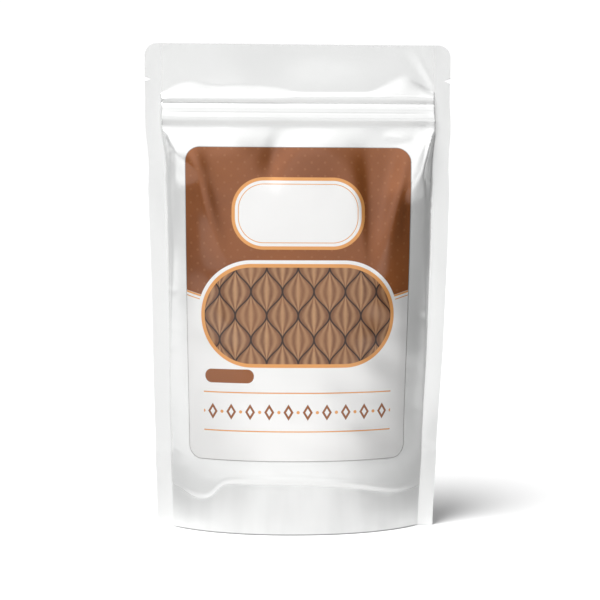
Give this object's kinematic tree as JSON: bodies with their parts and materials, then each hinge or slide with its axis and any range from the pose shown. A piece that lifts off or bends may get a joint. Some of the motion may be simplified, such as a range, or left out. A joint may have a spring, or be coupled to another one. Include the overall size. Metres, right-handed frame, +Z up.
{
  "type": "stand-up zip pouch of black cardamom pods",
  "caption": "Filled stand-up pouch of glossy white film with welded side seals, a zip, tear notches, a folded bottom gusset and a front label, holding black cardamom pods.",
  "frame": {"origin": "middle of the foot, on the ground, in the plane between the front and the back panel", "axes": "+Z up, from the foot to the header; the labelled front faces -Y; +X is to the right as seen from the front"},
  "size_m": [0.16, 0.0504, 0.255],
  "materials": {
    "film": "glossy white laminate film, duller where it is welded",
    "label": "coated label, brown and white print",
    "zip": "plain white polyethylene",
    "pod": "dry, ribbed, dark brown husk"
  },
  "bodies": {
    "root": {"front_panel": "film", "back_panel": "film", "bottom_gusset": "film", "front_label": "label", "zip_rib_strip": "zip", "zip_groove_strip": "zip", "pod_01": "pod", "pod_02": "pod", "pod_03": "pod", "pod_04": "pod", "pod_05": "pod", "pod_06": "pod", "pod_07": "pod", "pod_08": "pod", "pod_09": "pod", "pod_10": "pod", "pod_11": "pod", "pod_12": "pod", "pod_13": "pod", "pod_14": "pod", "pod_15": "pod", "pod_16": "pod", "pod_17": "pod", "pod_18": "pod", "pod_19": "pod", "pod_20": "pod", "pod_21": "pod", "pod_22": "pod", "pod_23": "pod", "pod_24": "pod", "pod_25": "pod", "pod_26": "pod", "pod_27": "pod", "pod_28": "pod", "pod_29": "pod", "pod_30": "pod", "pod_31": "pod", "pod_32": "pod", "pod_33": "pod", "pod_34": "pod", "pod_35": "pod", "pod_36": "pod", "pod_37": "pod", "pod_38": "pod", "pod_39": "pod", "pod_40": "pod", "pod_41": "pod", "pod_42": "pod", "pod_43": "pod", "pod_44": "pod", "pod_45": "pod", "pod_46": "pod", "pod_47": "pod", "pod_48": "pod", "pod_49": "pod", "pod_50": "pod", "pod_51": "pod", "pod_52": "pod"}
  },
  "joints": []
}
